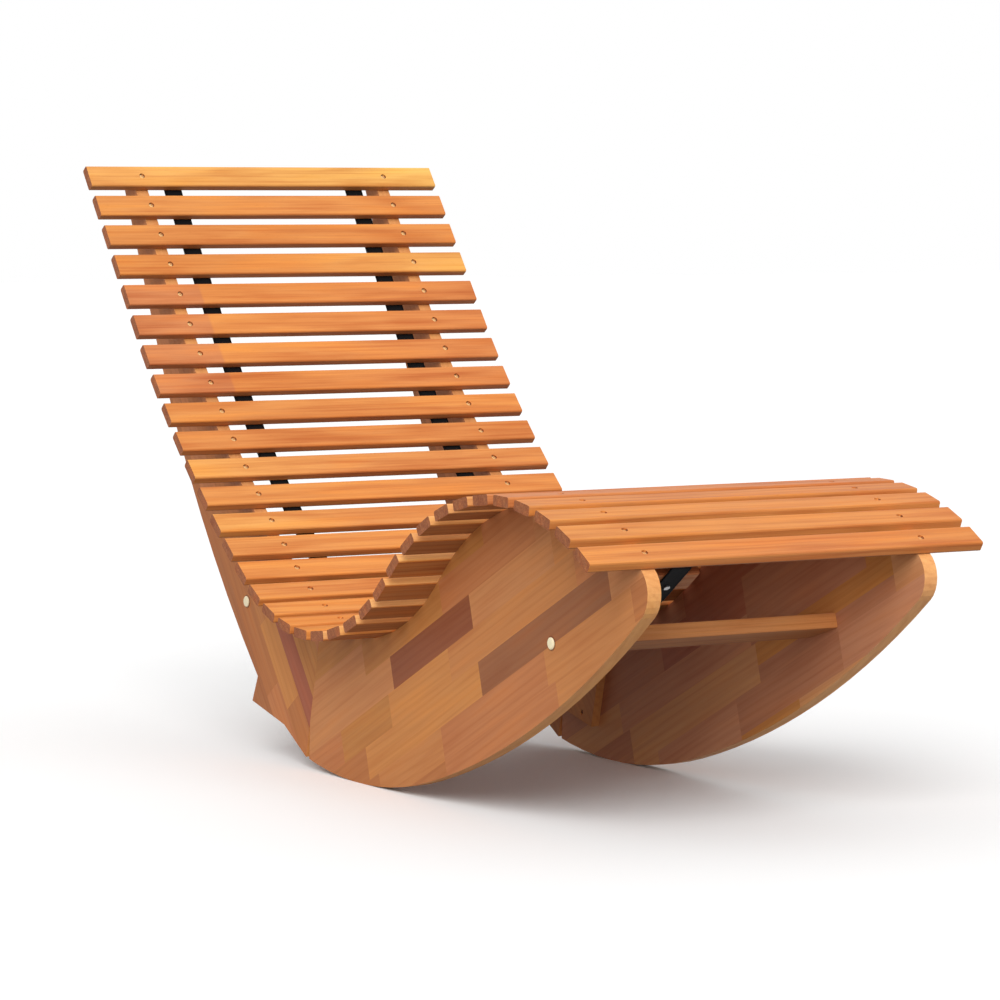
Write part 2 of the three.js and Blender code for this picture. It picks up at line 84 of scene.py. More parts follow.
# Sizes that the solids have
TOUCH = 0.3 * MM
SLAT_THICKNESS = 14 * MM
SLAT_WIDTH = 37 * MM
SCREW_LINE = 211 * MM
SCREW_SINK = 3.8 * MM
BOARD_INNER = 201 * MM
STRAP_MIDDLE = 158 * MM
STRAP_WIDTH = 30 * MM
STRAP_THICKNESS = 2 * MM
FOLD_FROM_EDGE = 4 * MM
LEFT_END_FROM_EDGE = 12 * MM
FOLD_RADIUS = 3 * MM
TAIL_SLOPE = 36
TAIL_STRAIGHT = 70 * MM
TAIL_BEND_RADIUS = 210 * MM
TAIL_BEND = 13
SEAM_BACK = 125 * MM
SEAM_HEIGHT = 129 * MM
SEAM_LEAN = 13.5
CLEAT_THICKNESS = 13 * MM
CLEAT_SINK = 2.4 * MM
CLEAT_COLUMNS = (73 * MM, 43 * MM, -72 * MM, -42 * MM)
CLEAT_ROWS = (-49 * MM, 73 * MM)

SIDES = {"left": 1, "right": -1}


def box_middle(name):
    low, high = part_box(name)
    return (Vector(low) + Vector(high)) / 2


def rgb(red, green, blue):
    """A colour written as it looks on a screen, 0 to 255, turned into linear light."""
    linear = []
    for value in (red, green, blue):
        share = value / 255
        linear.append(share / 12.92 if share <= 0.04045 else ((share + 0.055) / 1.055) ** 2.4)
    return (*linear, 1.0)


class Shading:
    """The node tree of a material or a world; most calls make a node and give back its output."""

    def __init__(self, owner):
        owner.use_nodes = True
        self.owner = owner
        self.tree = owner.node_tree

    def plug(self, socket, value):
        if isinstance(value, bpy.types.NodeSocket):
            self.tree.links.new(value, socket)
        elif value is not None:
            socket.default_value = value

    def node(self, kind, inputs=None, **settings):
        made = self.tree.nodes.new(kind)
        for key, value in settings.items():
            setattr(made, key, value)
        for key, value in (inputs or {}).items():
            self.plug(made.inputs[key], value)
        return made

    def math(self, operation, first, second=None, third=None):
        made = self.node("ShaderNodeMath", operation=operation)
        for place, value in enumerate((first, second, third)):
            self.plug(made.inputs[place], value)
        return made.outputs[0]

    def position(self):
        return self.node("ShaderNodeTexCoord").outputs["Object"]

    def axes(self, vector):
        return self.node("ShaderNodeSeparateXYZ", {0: vector}).outputs

    def vector(self, x, y, z):
        return self.node("ShaderNodeCombineXYZ", {0: x, 1: y, 2: z}).outputs[0]

    def noise(self, vector, scale=1.0, detail=2.0, roughness=0.5, shift=None):
        dimensions = "3D" if shift is None else "4D"
        made = self.node("ShaderNodeTexNoise", {"Vector": vector}, noise_dimensions=dimensions)
        made.inputs["Scale"].default_value = scale
        made.inputs["Detail"].default_value = detail
        made.inputs["Roughness"].default_value = roughness
        if shift is not None:
            self.plug(made.inputs["W"], shift)
        return made.outputs["Fac"]

    def spread(self, value, low, high, out_low=0.0, out_high=1.0):
        inputs = {0: value, 1: low, 2: high, 3: out_low, 4: out_high}
        return self.node("ShaderNodeMapRange", inputs).outputs[0]

    def blend(self, share, first, second, kind="MIX"):
        made = self.node("ShaderNodeMix", data_type="RGBA", blend_type=kind)
        self.plug(made.inputs[0], share)
        self.plug(made.inputs[6], first)
        self.plug(made.inputs[7], second)
        return made.outputs[2]

    def ramp(self, value, stops, interpolation="LINEAR"):
        made = self.node("ShaderNodeValToRGB", {0: value})
        ramp = made.color_ramp
        ramp.interpolation = interpolation
        while len(ramp.elements) < len(stops):
            ramp.elements.new(1.0)
        for element, (place, color) in zip(ramp.elements, stops):
            element.position = place
            element.color = color
        return made.outputs[0]

    def bump(self, height, strength, distance):
        inputs = {"Height": height, "Strength": strength, "Distance": distance}
        return self.node("ShaderNodeBump", inputs).outputs[0]

    def finish(self, color, roughness, normal=None, **constants):
        inputs = self.tree.nodes["Principled BSDF"].inputs
        self.plug(inputs["Base Color"], color)
        self.plug(inputs["Roughness"], roughness)
        self.plug(inputs["Normal"], normal)
        for key, value in constants.items():
            inputs[key.replace("_", " ")].default_value = value
        return self.owner


def new_shading(name):
    return Shading(bpy.data.materials.new(name))


# Wood: growth lines, streaks, fibres and pores that run along the grain, and a slow drift of tone

GROWTH_WIDTH = 12 * MM
GROWTH_WANDER = 16 * MM
GROWTH_SLANT = 0.6
GROWTH_SHARPNESS = 3.0
CLOUD_WIDTH = 60 * MM
CLOUD_LENGTH = 400 * MM
WOOD_GLOSS = 0.15
WOOD_RELIEF = 0.2 * MM
RELIEF_SHARE = 0.12
PIT_DEPTH = 0.5
FIBRE_READING = (0.3, 0.7)
PIT_READING = (0.66, 0.74)
DULLNESS_SPREAD = (-0.05, 0.08)

# Marks that are noise stretched along the grain: width, length, detail and roughness
GRAIN_MARKS = {
    "streak": (4 * MM, 300 * MM, 4, 0.6),
    "fibre": (1.0 * MM, 80 * MM, 3, 0.6),
    "pore": (0.6 * MM, 9 * MM, 1, 0.5),
    "drift": (22 * MM, 170 * MM, 2, 0.5),
}
# What tints the plain colour in turn: a mark, its readings, the tint's share at each, the tint and its kind
GRAIN_TINTS = (
    ("growth", (0.0, 1.0), (0.0, 0.8), (206, 156, 116), "MULTIPLY"),
    ("drift", (0.50, 0.68), (0.0, 0.9), (255, 200, 132), "SOFT_LIGHT"),
    ("drift", (0.32, 0.50), (1.8, 0.0), (232, 204, 186), "MULTIPLY"),
    ("streak", (0.30, 0.52), (1.5, 0.0), (226, 188, 162), "MULTIPLY"),
    ("streak", (0.52, 0.72), (0.0, 0.6), (255, 214, 150), "SOFT_LIGHT"),
    ("fibre", (0.35, 0.65), (0.8, 0.0), (212, 166, 132), "MULTIPLY"),
    ("pore", PIT_READING, (0.0, 0.5), (130, 76, 40), "MULTIPLY"),
)


def wood_grain(shade, along, across, through, shift):
    """Each mark of the grain, about 0 to 1, in a board's own directions."""
    def noise(width, length, detail, roughness):
        stretched = shade.vector(
            shade.math("DIVIDE", across, width),
            shade.math("DIVIDE", along, length),
            shade.math("DIVIDE", through, width),
        )
        return shade.noise(stretched, detail=detail, roughness=roughness, shift=shift)

    cloud = noise(CLOUD_WIDTH, CLOUD_LENGTH, 1, 0.5)
    wander = shade.math("MULTIPLY", shade.math("SUBTRACT", cloud, 0.5), 2 * GROWTH_WANDER)
    slant = shade.math("MULTIPLY_ADD", through, GROWTH_SLANT, across)
    turn = shade.math("DIVIDE", shade.math("ADD", slant, wander), GROWTH_WIDTH / math.tau)
    lines = shade.spread(shade.math("SINE", turn), -1.0, 1.0)
    marks = {mark: noise(*sizes) for mark, sizes in GRAIN_MARKS.items()}
    return {"growth": shade.math("POWER", lines, GROWTH_SHARPNESS), **marks}


def facing(shade, direction, turn, either_way=False):
    """0 to 1 as a face turns toward a direction, or either way along it, between the ends of turn."""
    normal = shade.node("ShaderNodeNewGeometry").outputs["True Normal"]
    product = shade.node("ShaderNodeVectorMath", {0: normal, 1: direction}, operation="DOT_PRODUCT")
    toward = product.outputs["Value"]
    if either_way:
        toward = shade.math("ABSOLUTE", toward)
    return shade.spread(toward, *turn)


def wood_finish(shade, base, grain, figure, dullness):
    """Oiled wood whose plain colour is base; figure is how strongly the grain's marks show."""
    color = base
    for mark, reading, shares, tint, kind in GRAIN_TINTS:
        share = shade.spread(grain[mark], *reading, *[figure * end for end in shares])
        color = shade.blend(share, color, rgb(*tint), kind)
    ends = [dullness + step for step in DULLNESS_SPREAD]
    roughness = shade.spread(grain["fibre"], *FIBRE_READING, *ends)
    pit = shade.spread(grain["pore"], *PIT_READING)
    relief = shade.math("MULTIPLY_ADD", pit, -PIT_DEPTH, grain["fibre"])
    bump = shade.bump(relief, RELIEF_SHARE, WOOD_RELIEF)
    return shade.finish(color, roughness, bump, Specular_IOR_Level=WOOD_GLOSS)


# Bars that lie along Y: the slats, the stretchers and the strap's block

BAR_REACH = 300 * MM
BAR_FIGURE = 0.34
BAR_DULLNESS = 0.50
END_SPECKLE = 1.6 * MM
END_TONES = ((0.35, (134, 80, 50)), (0.65, (178, 114, 72)))
END_TURN = (0.75, 0.95)
# Painted shade: a darker tone on the faces that look down, away from the light
UNDER_SHADE_TONE = (160, 110, 72)
UNDER_SHADE_SHARE = 0.8
UNDER_SHADE_TURN = (0.5, 0.8)
# Painted highlight: a paler tone on the hump's narrow faces that look up and ahead, where the light falls
SIDE_HIGHLIGHT_TONE = (250, 196, 130)
SIDE_HIGHLIGHT_SHARE = 0.75
SIDE_HIGHLIGHT_DIRECTION = (0.91, 0, 0.42)
SIDE_HIGHLIGHT_TURN = (0.80, 0.87)
HUMP_MIDDLE = 240 * MM
HUMP_HALF = 240 * MM


def hump_side_highlight(shade, x):
    """The share of the painted highlight: on the hump's narrow faces that look up and ahead, toward the
    light, and no other.
    """
    off_middle = shade.math("ABSOLUTE", shade.math("SUBTRACT", x, HUMP_MIDDLE))
    on_hump = shade.math("LESS_THAN", off_middle, HUMP_HALF)
    side = shade.math("MULTIPLY", facing(shade, SIDE_HIGHLIGHT_DIRECTION, SIDE_HIGHLIGHT_TURN), SIDE_HIGHLIGHT_SHARE)
    return shade.math("MULTIPLY", side, on_hump)


def bar_wood(name, stops, shift, side_highlight=False):
    """A bar's wood: colours at places along Y in millimetres, painted shade on faces that look down, and
    speckled end grain.
    """
    shade = new_shading(name)
    position = shade.position()
    x, y, z = shade.axes(position)
    grain = wood_grain(shade, y, x, z, shift)
    places = [(place * MM / BAR_REACH / 2 + 0.5, rgb(*color)) for place, color in stops]
    color = shade.ramp(shade.spread(y, -BAR_REACH, BAR_REACH), places)
    # Painted shade on the faces that look down
    under_shade = shade.math("MULTIPLY", facing(shade, (0, 0, -1), UNDER_SHADE_TURN), UNDER_SHADE_SHARE)
    color = shade.blend(under_shade, color, rgb(*UNDER_SHADE_TONE))
    # Painted highlight on the hump's narrow faces
    if side_highlight:
        color = shade.blend(hump_side_highlight(shade, x), color, rgb(*SIDE_HIGHLIGHT_TONE))
    speckle = shade.noise(position, scale=1 / END_SPECKLE, detail=3, roughness=0.7)
    end = shade.ramp(speckle, [(place, rgb(*tone)) for place, tone in END_TONES])
    base = shade.blend(facing(shade, (0, 1, 0), END_TURN, either_way=True), color, end)
    return wood_finish(shade, base, grain, BAR_FIGURE, BAR_DULLNESS)


# Side boards: rows of staves, glued edge to edge

STAVE_TONES = {
    "tan": (200, 134, 80),
    "gold": (205, 139, 79),
    "olive": (192, 130, 72),
    "rose": (194, 126, 80),
    "pale": (202, 138, 88),
    "brown": (186, 120, 72),
    "umber": (174, 112, 70),
    "plum": (154, 100, 66),
    "wine": (168, 98, 72),
    "red": (146, 86, 56),
    # These last four tones, used on the far board only, are painted lighter: painted light on its shaded
    # inner face
    "lit_sand": (216, 156, 108),
    "lit_blush": (206, 144, 108),
    "lit_mauve": (194, 132, 98),
    "lit_fox": (184, 114, 84),
}
STAVE_FIGURE = 0.17
STAVE_DULLNESS = 0.52
# Painted highlight: a paler tone on the boards' narrow faces
EDGE_HIGHLIGHT_TONE = (255, 190, 120)
FLAT_TURN = (0.3, 0.7)
CAPS = ("bolt_cap_front_right", "bolt_cap_rear_right")
CAP_RING = 8.3 * MM
CAP_RING_FADE = 2.2 * MM
CAP_RING_SHARE = 0.8
CAP_RING_TONE = (96, 54, 30)

# Greys that tell the staves apart: so many to a row and in all, and how far apart they move the grain
ROW_GREYS = 7
ALL_GREYS = 64
GREY_SHIFT = 97.0

# Each row has its lower edge, and its staves with where each starts along the row, in millimetres.
# The lowest row starts at BELOW and each row's first stave at BEHIND, both beyond the boards.
# A layout also has, in degrees, the angle that its rows lie at and the one that its butt joints are
# square to, and the share of the painted highlight, a paler tone, that its narrow faces take.
BELOW = -1000
BEHIND = -1200
STAVE_REACH = -BEHIND * MM

NEAR_FRONT_STAVES = {
    "angle": 26,
    "square": 15.5,
    "edge": 0.7,
    "rows": [
        (BELOW, [(BEHIND, "brown"), (250, "rose"), (560, "tan")]),
        (-53.7, [(BEHIND, "brown"), (60, "tan"), (250, "rose"), (540, "tan"), (760, "brown")]),
        (-9.0, [(BEHIND, "brown"), (34, "gold"), (372, "plum"), (713, "pale")]),
        (35.7, [(BEHIND, "rose"), (-30, "olive"), (120, "gold"), (300, "tan"), (640, "rose")]),
        (80.4, [(BEHIND, "pale"), (137, "red"), (372, "pale"), (600, "tan")]),
        (125.1, [(BEHIND, "pale"), (60, "olive"), (300, "rose"), (560, "pale")]),
        (169.8, [(BEHIND, "olive"), (180, "olive"), (430, "rose")]),
        (214.5, [(BEHIND, "gold"), (60, "olive")]),
    ],
}
# The far board's own stave layout, in tones painted lighter than the near board's: painted light on its
# shaded inner face
FAR_FRONT_STAVES = {
    "angle": 26,
    "square": 15.5,
    "edge": 0.7,
    "rows": [
        (BELOW, [(BEHIND, "lit_blush"), (330, "gold"), (486, "lit_sand")]),
        (-78.0, [(BEHIND, "lit_sand"), (120, "lit_blush"), (335, "lit_mauve"), (600, "lit_blush"), (860, "pale")]),
        (-27.0, [(BEHIND, "lit_mauve"), (55, "lit_sand"), (395, "lit_mauve"), (734, "lit_sand")]),
        (-4.0, [(BEHIND, "lit_mauve"), (55, "lit_sand"), (395, "gold"), (734, "lit_sand")]),
        (26.0, [(BEHIND, "lit_sand"), (30, "lit_blush"), (391, "lit_mauve"), (679, "gold"), (734, "lit_sand")]),
        (70.0, [(BEHIND, "lit_mauve"), (161, "lit_fox"), (390, "lit_mauve"), (640, "olive")]),
        (120.0, [(BEHIND, "lit_mauve"), (240, "lit_fox"), (500, "lit_mauve")]),
        (169.0, [(BEHIND, "olive"), (300, "lit_mauve")]),
    ],
}
REAR_STAVES = {
    "angle": -53.7,
    "square": -53.7,
    "edge": 0.4,
    "rows": [
        (BELOW, [(BEHIND, "umber"), (-200, "brown")]),
        (-165.5, [(BEHIND, "rose"), (-560, "brown"), (-240, "rose")]),
        (-122.0, [(BEHIND, "brown"), (-480, "tan"), (-330, "gold"), (-195, "brown")]),
        (-78.5, [(BEHIND, "tan"), (-700, "umber"), (-420, "wine")]),
        (-43.0, [(BEHIND, "rose"), (-330, "olive")]),
        (8.5, [(BEHIND, "brown"), (-240, "rose")]),
    ],
}
CLEAT_STAVES = {
    "angle": -53.7,
    "square": -53.7,
    "edge": 0.4,
    "rows": [(BELOW, [(BEHIND, "gold")]), (-165.5, [(BEHIND, "tan")])],
}


def row_ramps(shade, butt, row, place):
    """The tones along one row of staves, and a grey of its own for each stave."""
    share = shade.spread(butt, -STAVE_REACH, STAVE_REACH)
    tones = []
    greys = []
    for order, (start, tone) in enumerate(row):
        stop = (start * MM + STAVE_REACH) / (2 * STAVE_REACH)
        grey = (ROW_GREYS * place + order + 1) / ALL_GREYS
        tones.append((stop, rgb(*STAVE_TONES[tone])))
        greys.append((stop, (grey, grey, grey, 1.0)))
    return shade.ramp(share, tones, "CONSTANT"), shade.ramp(share, greys, "CONSTANT")


def stave_wood(name, layout):
    """Glued staves: rows along the layout's angle, and each stave with a tone and grain of its own."""
    shade = new_shading(name)
    x, y, z = shade.axes(shade.position())

    def turned(first, second, angle):
        turn = math.radians(angle)
        one = shade.math("MULTIPLY", first, math.cos(turn))
        return shade.math("MULTIPLY_ADD", second, math.sin(turn), one)

    along = turned(x, z, layout["angle"])
    butt = turned(x, z, layout["square"])
    across = turned(z, shade.math("MULTIPLY", x, -1.0), layout["angle"])
    color, grey = row_ramps(shade, butt, layout["rows"][0][1], 0)
    for place, (low, row) in enumerate(layout["rows"][1:], 1):
        above = shade.math("GREATER_THAN", across, low * MM)
        row_color, row_grey = row_ramps(shade, butt, row, place)
        color = shade.blend(above, color, row_color)
        grey = shade.blend(above, grey, row_grey)
    grain = wood_grain(shade, along, across, y, shade.math("MULTIPLY", grey, GREY_SHIFT))
    # Painted highlight on the narrow faces, those that don't look along Y
    edge = shade.math("SUBTRACT", 1.0, facing(shade, (0, 1, 0), FLAT_TURN, either_way=True))
    color = shade.blend(shade.math("MULTIPLY", edge, layout["edge"]), color, rgb(*EDGE_HIGHLIGHT_TONE))
    flat_place = shade.vector(x, 0, z)
    for cap in CAPS:
        middle = box_middle(cap)
        center = (middle.x, 0, middle.z)
        reach = shade.node("ShaderNodeVectorMath", {0: flat_place, 1: center}, operation="DISTANCE")
        distance = reach.outputs["Value"]
        ring = shade.spread(distance, CAP_RING, CAP_RING + CAP_RING_FADE, CAP_RING_SHARE, 0.0)
        color = shade.blend(ring, color, rgb(*CAP_RING_TONE))
    return wood_finish(shade, color, grain, STAVE_FIGURE, STAVE_DULLNESS)


# Webbing

CORD_PITCH = 2.2 * MM
PICK_PITCH = 2.8 * MM
PICK_LEAST = 0.35
WEAVE_TONES = ((0.0, (5, 5, 6)), (1.0, (27, 27, 29)))
WEAVE_RELIEF = 0.4 * MM
WEAVE_RELIEF_SHARE = 0.7
WEAVE_ROUGHNESS = 0.85
WEAVE_GLOSS = 0.12
RIM_WIDTH = 4.4 * MM
RIM_FADE = 1.1 * MM
RIM_TONE = (5, 5, 6)
FUZZ_PER_METRE = 1200
FUZZ_READING = (0.45, 0.8)
FUZZ_SHARE = 0.25
FUZZ_TONE = (32, 32, 34)


def webbing_finish():
    """Black woven webbing: cords along the strap, crossed by picks, in the strap's own directions."""
    shade = new_shading("woven_webbing")
    place = shade.node("ShaderNodeUVMap", uv_map="weave").outputs[0]
    across, along, _ = shade.axes(place)
    row = shade.math("FLOOR", shade.math("DIVIDE", across, CORD_PITCH))
    lag = shade.math("MULTIPLY", row, math.pi)
    pick = shade.math("SINE", shade.math("MULTIPLY_ADD", along, math.tau / PICK_PITCH, lag))
    wave = shade.math("SINE", shade.math("MULTIPLY", across, math.pi / CORD_PITCH))
    cord = shade.math("ABSOLUTE", wave)
    weave = shade.math("MULTIPLY", cord, shade.spread(pick, -1.0, 1.0, PICK_LEAST, 1.0))
    color = shade.ramp(weave, [(height, rgb(*tone)) for height, tone in WEAVE_TONES])
    off_middle = shade.math("ABSOLUTE", shade.math("SUBTRACT", across, STRAP_WIDTH))
    rim_start = STRAP_WIDTH / 2 - RIM_WIDTH
    rim = shade.spread(off_middle, rim_start, rim_start + RIM_FADE)
    color = shade.blend(rim, color, rgb(*RIM_TONE))
    fuzz = shade.noise(shade.position(), scale=FUZZ_PER_METRE, detail=3)
    share = shade.spread(fuzz, *FUZZ_READING, 0.0, FUZZ_SHARE)
    color = shade.blend(share, color, rgb(*FUZZ_TONE))
    bump = shade.bump(weave, WEAVE_RELIEF_SHARE, WEAVE_RELIEF)
    return shade.finish(color, WEAVE_ROUGHNESS, bump, Specular_IOR_Level=WEAVE_GLOSS)


# Metal and the caps' plastic

SCUFFS_PER_METRE = 700
SCUFF_TONE = 0.78
SCUFF_TONE_READING = (0.35, 0.7)
SCUFF_DULL_READING = (0.3, 0.7)
SCUFF_SPREAD = (-0.08, 0.12)
SCUFF_RELIEF_SHARE = 0.1
CAP_GRAIN_PER_METRE = 1500
CAP_TONES = ((0.3, (250, 232, 188)), (0.7, (255, 240, 204)))
CAP_READING = (0.3, 0.7)
CAP_ROUGHNESS = (0.38, 0.50)
CAP_RELIEF_SHARE = 0.08
CAP_GLOW = 0.05
FINE_RELIEF = 0.05 * MM


def metal_finish(name, color, roughness):
    """Plated steel with darker, duller scuffs."""
    shade = new_shading(name)
    scuff = shade.noise(shade.position(), scale=SCUFFS_PER_METRE, detail=4, roughness=0.6)
    darker = [SCUFF_TONE * part for part in color]
    tint = shade.blend(shade.spread(scuff, *SCUFF_TONE_READING), rgb(*color), rgb(*darker))
    ends = [roughness + step for step in SCUFF_SPREAD]
    dull = shade.spread(scuff, *SCUFF_DULL_READING, *ends)
    return shade.finish(tint, dull, shade.bump(scuff, SCUFF_RELIEF_SHARE, FINE_RELIEF), Metallic=1.0)


def cap_finish():
    """Cream plastic with a fine moulded grain."""
    shade = new_shading("cap_plastic")
    grain = shade.noise(shade.position(), scale=CAP_GRAIN_PER_METRE, detail=2)
    tint = shade.ramp(grain, [(place, rgb(*tone)) for place, tone in CAP_TONES])
    dull = shade.spread(grain, *CAP_READING, *CAP_ROUGHNESS)
    bump = shade.bump(grain, CAP_RELIEF_SHARE, FINE_RELIEF)
    return shade.finish(tint, dull, bump, Subsurface_Weight=CAP_GLOW)


# Mesh helpers

SMOOTH_ANGLE = 40


def lathe(bm, profile, sides, place):
    """Turns radius and height pairs about Z, and moves the ring of faces by the matrix place."""
    rings = []
    for radius, height in profile:
        if radius == 0:
            rings.append([bm.verts.new(place @ Vector((0, 0, height)))] * sides)
            continue
        ring = []
        for step in range(sides):
            angle = math.tau * step / sides
            point = Vector((radius * math.cos(angle), radius * math.sin(angle), height))
            ring.append(bm.verts.new(place @ point))
        rings.append(ring)
    for lower, upper in zip(rings, rings[1:]):
        for step in range(sides):
            after = (step + 1) % sides
            corners = [lower[step], lower[after], upper[after], upper[step]]
            face = list(dict.fromkeys(corners))
            if len(face) > 2:
                bm.faces.new(face)


def smooth_group():
    """A modifier's node group that shades smooth all but the edges that turn more than an angle."""
    group = bpy.data.node_groups.new("smooth_by_angle", "GeometryNodeTree")
    group.interface.new_socket("Geometry", in_out="INPUT", socket_type="NodeSocketGeometry")
    group.interface.new_socket("Geometry", in_out="OUTPUT", socket_type="NodeSocketGeometry")
    start = group.nodes.new("NodeGroupInput")
    end = group.nodes.new("NodeGroupOutput")
    angle = group.nodes.new("GeometryNodeInputMeshEdgeAngle")
    sharp = group.nodes.new("FunctionNodeCompare")
    sharp.operation = "GREATER_THAN"
    sharp.inputs[1].default_value = math.radians(SMOOTH_ANGLE)
    faces = group.nodes.new("GeometryNodeSetShadeSmooth")
    faces.domain = "FACE"
    edges = group.nodes.new("GeometryNodeSetShadeSmooth")
    edges.domain = "EDGE"
    edges.inputs["Shade Smooth"].default_value = False
    link = group.links.new
    link(start.outputs[0], faces.inputs["Geometry"])
    link(faces.outputs[0], edges.inputs["Geometry"])
    link(angle.outputs["Unsigned Angle"], sharp.inputs[0])
    link(sharp.outputs[0], edges.inputs["Selection"])
    link(edges.outputs[0], end.inputs[0])
    return group


SMOOTH = smooth_group()


def shade_smooth(piece):
    modifier = piece.modifiers.new("smooth_by_angle", "NODES")
    modifier.node_group = SMOOTH


def dress(node, material):
    """Gives a carried-over solid its finish."""
    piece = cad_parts[node]
    piece.data.materials.clear()
    piece.data.materials.append(material)
    shade_smooth(piece)


def finish_piece(bm, name, material):
    """Turns the faces outwards and makes them a new piece of the lounge."""
    bmesh.ops.recalc_face_normals(bm, faces=bm.faces)
    mesh = bpy.data.meshes.new(name)
    bm.to_mesh(mesh)
    bm.free()
    piece = bpy.data.objects.new(name, mesh)
    bpy.context.scene.collection.objects.link(piece)
    mesh.materials.append(material)
    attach(piece, "root")
    shade_smooth(piece)
    return piece


def frame_at(point, up, ahead):
    """A matrix that puts Z along up and X along ahead, at a point."""
    turn = Matrix((ahead, up.cross(ahead), up)).transposed()
    return Matrix.Translation(point) @ turn.to_4x4()


# Slats

GRAIN_STEP = 3.7
UPPER_RISE = 0.3

# Colours at places along Y in millimetres; two places close together are a finger joint
SLAT_COLORS = {
    "pale": ((-300, (236, 172, 98)), (0, (242, 184, 104)), (300, (246, 196, 108))),
    "golden": ((-300, (228, 154, 84)), (0, (226, 152, 84)), (300, (238, 178, 98))),
    "honey": ((-300, (222, 150, 84)), (300, (224, 148, 82))),
    "jointed": ((-177, (212, 138, 88)), (-175, (226, 150, 82)), (300, (216, 138, 80))),
    "amber": ((-300, (220, 146, 82)), (300, (216, 140, 78))),
    "striped": ((-300, (236, 172, 96)), (-60, (222, 150, 86)), (300, (218, 144, 82))),
    "russet": ((-300, (224, 150, 84)), (40, (212, 134, 78)), (300, (222, 146, 80))),
    "rosy": ((-300, (212, 138, 86)), (300, (214, 138, 82))),
}
SLAT_ORDER = (
    "pale honey honey golden jointed jointed jointed jointed honey amber striped honey striped "
    "honey golden honey golden amber golden honey amber golden honey amber golden honey golden "
    "amber honey rosy rosy amber honey honey russet"
).split()


def slat_place(number):
    """The middle of a slat, and the directions up out of its upper face and forward across it."""
    name = f"slat_{number:02d}"
    uppers = [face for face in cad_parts[name].data.polygons if face.normal.z > UPPER_RISE]
    up = max(uppers, key=lambda face: face.area).normal.copy()
    return box_middle(name), up, Vector((up.z, 0, -up.x))


SLATS = [slat_place(number) for number in range(1, len(SLAT_ORDER) + 1)]
slat_woods = {}
for order, (tone, stops) in enumerate(SLAT_COLORS.items()):
    slat_woods[tone] = bar_wood(f"slat_wood_{tone}", stops, GRAIN_STEP * order, side_highlight=True)
for number, tone in enumerate(SLAT_ORDER, 1):
    dress(f"slat_{number:02d}", slat_woods[tone])

# Side boards, cleats, block and stretchers

RAIL_COLORS = ((-200, (226, 158, 100)), (200, (216, 148, 92)))
BLOCK_COLORS = ((-200, (178, 108, 66)), (200, (178, 108, 66)))

rail_wood = bar_wood("rail_wood", RAIL_COLORS, shift=20.0)
block_wood = bar_wood("block_wood", BLOCK_COLORS, shift=31.0)
cleat_wood = stave_wood("cleat_wood", CLEAT_STAVES)
rear_wood = stave_wood("rear_stave_wood", REAR_STAVES)
front_woods = {
    "right": stave_wood("near_front_stave_wood", NEAR_FRONT_STAVES),
    "left": stave_wood("far_front_stave_wood", FAR_FRONT_STAVES),
}
for side in SIDES:
    dress(f"front_side_board_{side}", front_woods[side])
    dress(f"rear_side_board_{side}", rear_wood)
    dress(f"splice_cleat_{side}", cleat_wood)
for node in ("front_stretcher", "rear_stretcher"):
    dress(node, rail_wood)
dress("strap_block", block_wood)

# Fittings

zinc = metal_finish("zinc_steel", (196, 198, 200), roughness=0.32)
golden_steel = metal_finish("yellow_zinc_steel", (255, 212, 152), roughness=0.45)
# The cleat screws' steel is given a dark brown colour
dark_steel = metal_finish("dark_brown_steel", (112, 64, 36), roughness=0.5)
cap_plastic = cap_finish()
for place in ("front", "rear"):
    for side in SIDES:
        dress(f"bolt_{place}_{side}", zinc)
        dress(f"barrel_nut_{place}_{side}", zinc)
        dress(f"bolt_cap_{place}_{side}", cap_plastic)
dress("strap_screw", zinc)

# Screws of the slats and the cleats

SCREW_HEAD = 4.15 * MM
SCREW_SHANK = 1.7 * MM
SCREW_SIDES = 12
CLEAT_SCREW_SCALE = 0.72
# Radius and height from the point up to the head, whose last three rings are the recess for the driver
SCREW_PROFILE = (
    (0, -30 * MM), (SCREW_SHANK, -26 * MM), (SCREW_SHANK, 0), (SCREW_HEAD, 0),
    (SCREW_HEAD, 1.0 * MM), (0.82 * SCREW_HEAD, 1.9 * MM), (0.30 * SCREW_HEAD, 2.2 * MM),
    (0.22 * SCREW_HEAD, 1.2 * MM), (0, 1.0 * MM),
)


def screw_set(name, places, scale, material):
    """Screws of one length, head up on each place's Z, as one piece."""
    profile = [(scale * radius, scale * height) for radius, height in SCREW_PROFILE]
    bm = bmesh.new()
    for place in places:
        lathe(bm, profile, SCREW_SIDES, place)
    finish_piece(bm, name, material)


def from_seam(ahead, up, y):
    """A point so far ahead of the boards' seam and so far up along it."""
    lean = math.radians(SEAM_LEAN)
    x = -SEAM_BACK + ahead * math.cos(lean) + up * math.sin(lean)
    return Vector((x, y, SEAM_HEIGHT - ahead * math.sin(lean) + up * math.cos(lean)))


SEAT_RISE = SLAT_THICKNESS / 2 - SCREW_SINK
HEAD_LINE = BOARD_INNER - TOUCH - CLEAT_THICKNESS + CLEAT_SINK
for side, sign in SIDES.items():
    across = Vector((0, sign * SCREW_LINE, 0))
    seats = [frame_at(middle + up * SEAT_RISE + across, up, ahead) for middle, up, ahead in SLATS]
    screw_set(f"slat_screws_{side}", seats, 1, golden_steel)
    inwards = Vector((0, -sign, 0))
    points = [from_seam(ahead, up, sign * HEAD_LINE) for ahead in CLEAT_COLUMNS for up in CLEAT_ROWS]
    heads = [frame_at(point, inwards, Vector((1, 0, 0))) for point in points]
    screw_set(f"cleat_screws_{side}", heads, CLEAT_SCREW_SCALE, dark_steel)

# Webbing straps under the slats

